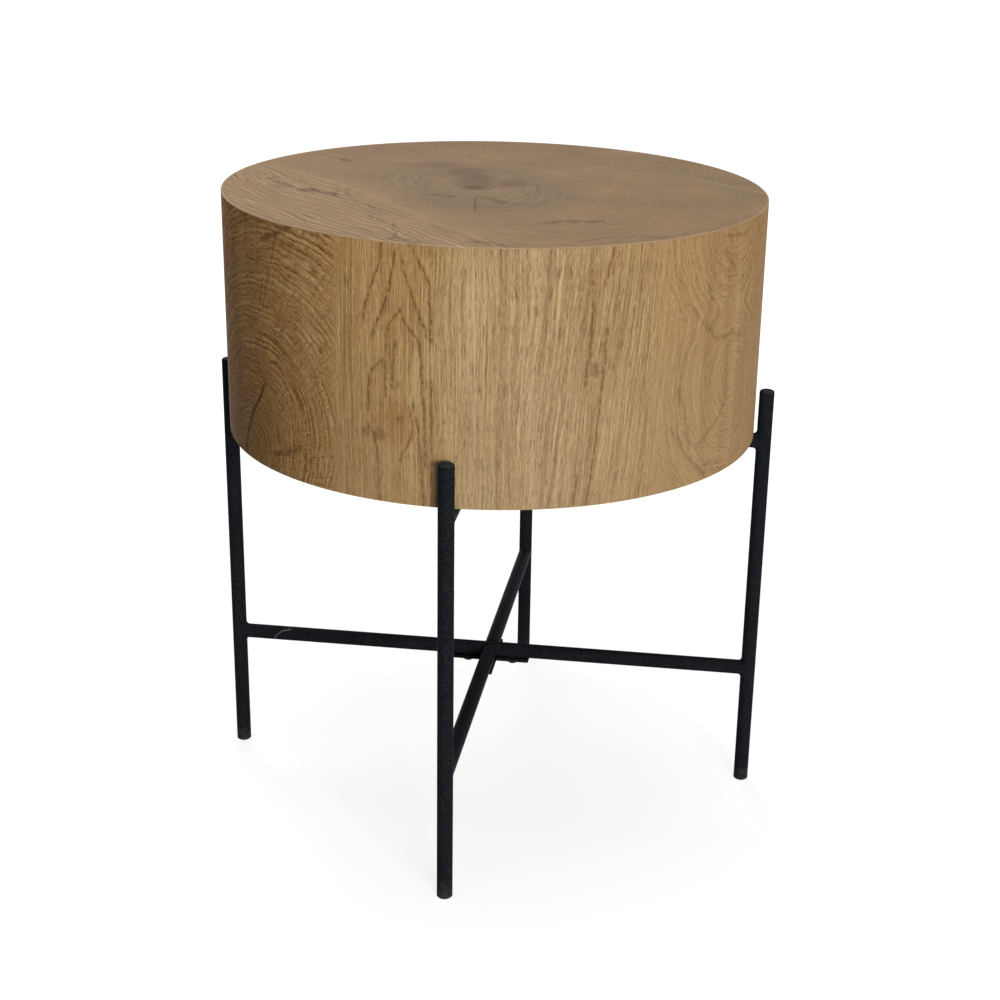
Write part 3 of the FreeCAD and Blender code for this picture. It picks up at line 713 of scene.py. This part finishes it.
def round_corners(outline, radius, steps, closed=False):
    """The outline with each corner replaced by a small arc."""
    rounded = []
    count = len(outline)
    for i, corner in enumerate(outline):
        if not closed and i in (0, count - 1):
            rounded.append(corner)
            continue
        here = Vector(corner)
        before = Vector(outline[i - 1]) - here
        after = Vector(outline[(i + 1) % count]) - here
        reach = min(radius, before.length * 0.45, after.length * 0.45)
        start = here + before.normalized() * reach
        end = here + after.normalized() * reach
        for step in range(steps + 1):
            t = step / steps
            curve = start * (1 - t) ** 2 + here * (2 * t * (1 - t)) + end * t ** 2
            rounded.append(tuple(curve))
    return rounded


def turned(profile, sides, centre=(0.0, 0.0)):
    """Rings of a turned piece from its profile of (radius, height)."""
    rings = []
    for radius, height in profile:
        rings.append([(centre[0] + radius * math.cos(2 * math.pi * i / sides),
                       centre[1] + radius * math.sin(2 * math.pi * i / sides), height)
                      for i in range(sides)])
    return rings


def quarter_turned(points, turns):
    """Points turned about the table's middle by quarter turns."""
    turn = Matrix.Rotation(turns * math.pi / 2, 3, "Z")
    return [tuple(turn @ Vector(p)) for p in points]


def add_piece(name, form, finish, node):
    """Makes the piece from its form and puts it in place of a node of the frame."""
    mesh = bpy.data.meshes.new(name)
    mesh.from_pydata([[c * MM for c in p] for p in form.points], [], form.faces)
    mesh.validate()
    mesh.shade_smooth()
    mesh.set_sharp_from_angle(angle=SHARP_ANGLE)
    mesh.materials.append(finish)
    piece = bpy.data.objects.new(name, mesh)
    bpy.context.scene.collection.objects.link(piece)
    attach(piece, "root")
    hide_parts(node)


def leg_form(x, y):
    """A leg that stands at x, y: a round rod with a bevelled foot and a rounded top."""
    profile = [(ROD_RADIUS - FOOT_BEVEL, 0.0), (ROD_RADIUS, FOOT_BEVEL)]
    profile += [(ROD_RADIUS, z) for z in LEG_RINGS]
    for step in range(ROUND_STEPS + 1):
        t = math.pi / 2 * step / ROUND_STEPS
        profile.append((ROD_RADIUS - LEG_TOP_ROUND * (1 - math.cos(t)),
                        LEG_TOP - LEG_TOP_ROUND * (1 - math.sin(t))))
    form = Form()
    form.skin(turned(profile, ROD_SIDES, (x, y)))
    return form


def bar_ring(end, height, coped=False):
    """One ring of a bar along X: flat, or hollowed to sit against the leg's side."""
    ring = []
    for i in range(ROD_SIDES):
        t = 2 * math.pi * i / ROD_SIDES
        across, up = ROD_RADIUS * math.cos(t), ROD_RADIUS * math.sin(t)
        hollow = math.sqrt(COPE_RADIUS ** 2 - across ** 2) if coped else 0.0
        ring.append((end - hollow, across, height + up))
    return ring


def weld_rings(height, weld, above):
    """Sections of one bead in the crotch between a bar along X and the leg at its end."""
    rings = []
    for step in range(WELD_STEPS + 1):
        t = WELD_SWEEP * (2 * step / WELD_STEPS - 1)
        radial = Vector((math.cos(t), math.sin(t), math.cos(t)))
        ball = radial * (ROD_RADIUS + weld)
        to_leg = Vector((-math.cos(t), -math.sin(t), 0.0))
        to_bar = Vector((0.0, -math.sin(t), -math.cos(t)))
        grow = weld * (1 - WELD_RIPPLE * (0.5 + 0.5 * math.cos(step * 1.7)))
        apart = to_leg.angle(to_bar) > 1e-4
        section = []
        for part in range(BEAD_STEPS + 1):
            aim = to_leg.slerp(to_bar, part / BEAD_STEPS) if apart else to_leg
            reach = weld if part in (0, BEAD_STEPS) else grow
            section.append(ball + aim * reach)
        root = ball + (to_leg + to_bar) * weld
        section.append(root)
        rings.append([(LEG_REACH - p.x, p.y, height + (p.z if above else -p.z)) for p in section])
    return rings if above else [list(reversed(ring)) for ring in rings]


def through_bar_form(height, weld):
    """The bar from the left leg to the right one, with its four weld beads."""
    form = Form()
    right = bar_ring(LEG_REACH, height, True)
    inner = bar_ring(LEG_REACH - BAR_END, height)
    left = [(-x, y, z) for x, y, z in right]
    inner_left = [(-x, y, z) for x, y, z in inner]
    form.skin([left, inner_left, inner, right])
    for above in (True, False):
        rings = weld_rings(height, weld, above)
        form.skin(rings)
        form.skin([quarter_turned(ring, 2) for ring in rings])
    return form


def half_bar_form(height, weld, turns):
    """A bar from the through bar to one leg, with its two weld beads."""
    form = Form()
    rings = [[(x, y * HALF_BAR_TIP, height + (z - height) * HALF_BAR_TIP)
              for x, y, z in bar_ring(HALF_BAR_START, height)],
             bar_ring(HALF_BAR_START + HALF_BAR_BREAK, height),
             bar_ring(LEG_REACH - BAR_END, height),
             bar_ring(LEG_REACH, height, True)]
    form.skin([quarter_turned(ring, turns) for ring in rings])
    for above in (True, False):
        form.skin([quarter_turned(ring, turns) for ring in weld_rings(height, weld, above)])
    return form


def plus_outline(reach, half_width):
    """The outline of a plus with rounded corners."""
    arm = [(reach, -half_width), (reach, half_width), (half_width, half_width)]
    corners = []
    for turns in range(4):
        corners += quarter_turned([(x, y, 0.0) for x, y in arm], turns)
    rounded = round_corners(corners, PLATE_CORNER_ROUND, PLATE_CORNER_STEPS, True)
    return [tuple(p[:2]) for p in rounded]


def cross_plate_form(top):
    """The plus-shaped plate that joins the bars of one cross from below."""
    form = Form()
    bottom = top - PLATE_THICKNESS
    levels = [(inset, bottom + rise) for inset, rise in PLATE_EDGE]
    levels += [(inset, top - rise) for inset, rise in reversed(PLATE_EDGE)]
    form.skin([[(x, y, z) for x, y in plus_outline(PLATE_REACH - inset, PLATE_HALF_WIDTH - inset)]
               for inset, z in levels])
    return form


def hexagon_ring(width, height, centre):
    """A ring of the six-sided socket, with as many points as the screw's round rings."""
    ring = []
    for i in range(SCREW_SIDES):
        t = 2 * math.pi * i / SCREW_SIDES
        off_flat = (t + math.pi / 6) % (math.pi / 3) - math.pi / 6
        radius = width / 2 / math.cos(off_flat)
        ring.append((centre[0] + radius * math.cos(t), centre[1] + radius * math.sin(t), height))
    return ring


def button_screws_form(seat, length, offset):
    """Four button-head screws, heads down, with hexagon sockets."""
    form = Form()
    low = seat - HEAD_HEIGHT
    dome = [(HEAD_RADIUS, seat), (HEAD_RADIUS, seat - HEAD_RIM)]
    for step in range(1, ROUND_STEPS + 1):
        t = step / ROUND_STEPS
        radius = HEAD_RADIUS + (HEAD_FLAT_RADIUS - HEAD_RADIUS) * t
        rise = math.sin(t * math.pi / 2) ** HEAD_FULLNESS
        drop = HEAD_RIM + (HEAD_HEIGHT - HEAD_RIM) * rise
        dome.append((radius, seat - drop))
    for turns in range(4):
        centre = quarter_turned([(offset, 0.0, 0.0)], turns)[0][:2]
        rings = [hexagon_ring(SOCKET_WIDTH * SOCKET_TIP, low + SOCKET_DEPTH, centre),
                 hexagon_ring(SOCKET_WIDTH, low + SOCKET_DEPTH - SOCKET_CONE, centre),
                 hexagon_ring(SOCKET_WIDTH, low + SOCKET_LEAD_IN, centre),
                 hexagon_ring(SOCKET_WIDTH + SOCKET_FLARE, low, centre)]
        rings += turned(list(reversed(dome)), SCREW_SIDES, centre)
        rings += turned([(SCREW_RADIUS, seat), (SCREW_RADIUS, seat + length - POINT_LENGTH),
                         (SCREW_RADIUS - POINT_INSET, seat + length)], SCREW_SIDES, centre)
        form.skin(rings)
    return form


def side_laminate_form():
    """The laminate round the drum, with a seam at the back."""
    outer, inner = DRUM_RADIUS, DRUM_RADIUS - SIDE_THICKNESS
    low, high = DRUM_BOTTOM, DRUM_TOP - TOP_THICKNESS
    section = round_corners([(inner, low), (outer, low), (outer, high), (inner, high)],
                            LAMINATE_EDGE_ROUND, 2, True)
    half_seam = SEAM / 2 / DRUM_RADIUS
    rings = []
    for step in range(DRUM_SIDES + 1):
        t = math.pi / 2 + half_seam + (2 * math.pi - 2 * half_seam) * step / DRUM_SIDES
        rings.append([(r * math.cos(t), r * math.sin(t), z) for r, z in section])
    form = Form()
    form.skin(rings)
    return form


def top_laminate_form():
    """The laminate disc on the drum, bevelled at its upper edge."""
    low = DRUM_TOP - TOP_THICKNESS
    edge = [(DRUM_RADIUS - TOP_RIM, low), (DRUM_RADIUS, low), (DRUM_RADIUS, DRUM_TOP - TOP_BEVEL),
            (DRUM_RADIUS - TOP_BEVEL, DRUM_TOP), (DRUM_RADIUS - TOP_RIM, DRUM_TOP)]
    form = Form()
    form.skin(turned(round_corners(edge, LAMINATE_EDGE_ROUND, 3), DRUM_SIDES))
    return form


# ------------------------------------------------------------------ the table

def build_table():
    """Every piece of the table that shows, and the materials of the hidden ones."""
    coat = black_powder_coat()
    oxide = black_oxide()
    board = raw_fibreboard()
    brass = turned_brass()

    for name, x, y in (("front", 0.0, -LEG_REACH), ("back", 0.0, LEG_REACH),
                       ("left", -LEG_REACH, 0.0), ("right", LEG_REACH, 0.0)):
        add_piece(f"coated_leg_{name}", leg_form(x, y), coat, f"leg_{name}")

    for level, height, weld in (("lower", LOWER_CROSS, LOWER_WELD),
                                ("upper", UPPER_CROSS, UPPER_WELD)):
        plate_top = height - ROD_RADIUS
        for part, form in (("through_bar", through_bar_form(height, weld)),
                           ("half_bar_front", half_bar_form(height, weld, 3)),
                           ("half_bar_back", half_bar_form(height, weld, 1)),
                           ("cross_plate", cross_plate_form(plate_top))):
            add_piece(f"coated_{level}_{part}", form, coat,
                      f"{level}_{part}")
        add_piece(f"{level}_plate_button_bolts",
                  button_screws_form(plate_top - PLATE_THICKNESS, PLATE_BOLT_LENGTH,
                                     PLATE_BOLT_OFFSET),
                  oxide, f"{level}_plate_bolts")
    add_piece("drum_button_screws",
              button_screws_form(DRUM_SCREW_SEAT, DRUM_SCREW_LENGTH, DRUM_SCREW_OFFSET),
              oxide, "drum_screws")

    add_piece("oak_side", side_laminate_form(), side_oak_laminate(),
              "side_laminate")
    add_piece("oak_top", top_laminate_form(), top_oak_laminate(),
              "top_laminate")

    for node in ("drum_bottom_panel", "drum_top_panel", "drum_side_wall", "drum_rib_x",
                 "drum_rib_y"):
        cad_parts[node].material_slots[0].material = board
    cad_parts["threaded_inserts"].material_slots[0].material = brass


# ------------------------------------------------------------------ studio

def background_rays(nodes):
    """1 for the rays that are to see a white background: camera, glossy and transmission rays."""
    kinds = ("Is Camera Ray", "Is Glossy Ray", "Is Transmission Ray")
    return nodes.largest(*[nodes.node("LightPath", None, None, kind) for kind in kinds])


def studio_floor():
    """A pale floor that glows for the rays that see the background and still takes shadows."""
    mesh = bpy.data.meshes.new("studio_floor")
    corners = [(x * FLOOR_REACH, y * FLOOR_REACH, 0.0)
               for x, y in ((-1, -1), (1, -1), (1, 1), (-1, 1))]
    mesh.from_pydata(corners, [], [(0, 1, 2, 3)])
    floor = bpy.data.objects.new("studio_floor", mesh)
    bpy.context.scene.collection.objects.link(floor)

    paint = bpy.data.materials.new("studio_floor_paint")
    paint.use_nodes = True
    paint.node_tree.nodes.clear()
    n = Nodes(paint.node_tree)
    x, y, _ = n.place()
    far = n.ease(n.math("SQRT", x * x + y * y), FLOOR_WHITE_FROM, FLOOR_WHITE_BEYOND)
    glow = n.mix(far, (FLOOR_GLOW, FLOOR_GLOW, FLOOR_GLOW, 1.0), (1.0, 1.0, 1.0, 1.0))
    lit = n.node("BsdfDiffuse", None, {"Color": (FLOOR_GREY, FLOOR_GREY, FLOOR_GREY, 1.0)})
    white = n.node("Emission", None, {"Color": glow, "Strength": 1.0})
    shown = n.node("AddShader", None, {"Shader": lit, "Shader_001": white})
    surface = n.node("MixShader", None, {"Fac": background_rays(n), "Shader": lit,
                                         "Shader_001": shown})
    n.node("OutputMaterial", None, {"Surface": surface})
    mesh.materials.append(paint)


def studio_world():
    """A white background, with a faint light of its own on the table."""
    world = bpy.data.worlds.new("studio_world")
    world.use_nodes = True
    world.node_tree.nodes.clear()
    n = Nodes(world.node_tree)
    soft = n.node("Background", None, {"Color": (0.93, 0.96, 1.0, 1.0),
                                       "Strength": SKY_STRENGTH})
    white = n.node("Background", None, {"Color": (1.0, 1.0, 1.0, 1.0), "Strength": 1.0})
    surface = n.node("MixShader", None, {"Fac": background_rays(n), "Shader": soft,
                                         "Shader_001": white})
    n.node("OutputWorld", None, {"Surface": surface})
    bpy.context.scene.world = world


def softbox(name, azimuth, elevation, distance, width, power, colour):
    """A square area lamp that looks at the drum from the given side."""
    a, e = math.radians(azimuth), math.radians(elevation)
    away = Vector((math.sin(a) * math.cos(e), -math.cos(a) * math.cos(e), math.sin(e)))
    lamp = bpy.data.lights.new(name, "AREA")
    lamp.shape = "SQUARE"
    lamp.size = width
    lamp.energy = power
    lamp.color = colour
    box = bpy.data.objects.new(name, lamp)
    box.location = Vector(LAMP_TARGET) + away * distance
    box.rotation_mode = "QUATERNION"
    box.rotation_quaternion = (-away).to_track_quat("-Z", "Y")
    bpy.context.scene.collection.objects.link(box)


def studio_camera():
    """The camera, rolled a little about its own line of sight."""
    forward = Vector(CAMERA_FORWARD).normalized()
    level = Vector(CAMERA_LEVEL).normalized()
    up = level.cross(forward)
    right = level * math.cos(CAMERA_ROLL) + up * math.sin(CAMERA_ROLL)
    upright = up * math.cos(CAMERA_ROLL) - level * math.sin(CAMERA_ROLL)
    data = bpy.data.cameras.new("camera")
    data.sensor_width = 36.0
    data.lens = 64.86
    data.shift_x = -0.072
    data.clip_start = 0.05
    data.clip_end = 50.0
    camera = bpy.data.objects.new("camera", data)
    camera.matrix_world = Matrix((right, upright, -forward)).transposed().to_4x4()
    camera.location = CAMERA_PLACE
    bpy.context.scene.collection.objects.link(camera)
    bpy.context.scene.camera = camera


def build_studio():
    """The floor, the white background, three softboxes and the camera."""
    studio_floor()
    studio_world()
    softbox("key_softbox", azimuth=28, elevation=9, distance=3.2, width=1.2, power=79,
            colour=(1.0, 0.985, 0.95))
    softbox("top_softbox", azimuth=10, elevation=84, distance=2.2, width=1.6, power=25,
            colour=(0.97, 0.98, 0.99))
    softbox("back_softbox", azimuth=205, elevation=50, distance=2.6, width=1.2, power=28,
            colour=(1.0, 0.96, 0.90))
    studio_camera()
    bpy.context.scene.view_settings.view_transform = "Standard"


build_table()
build_studio()
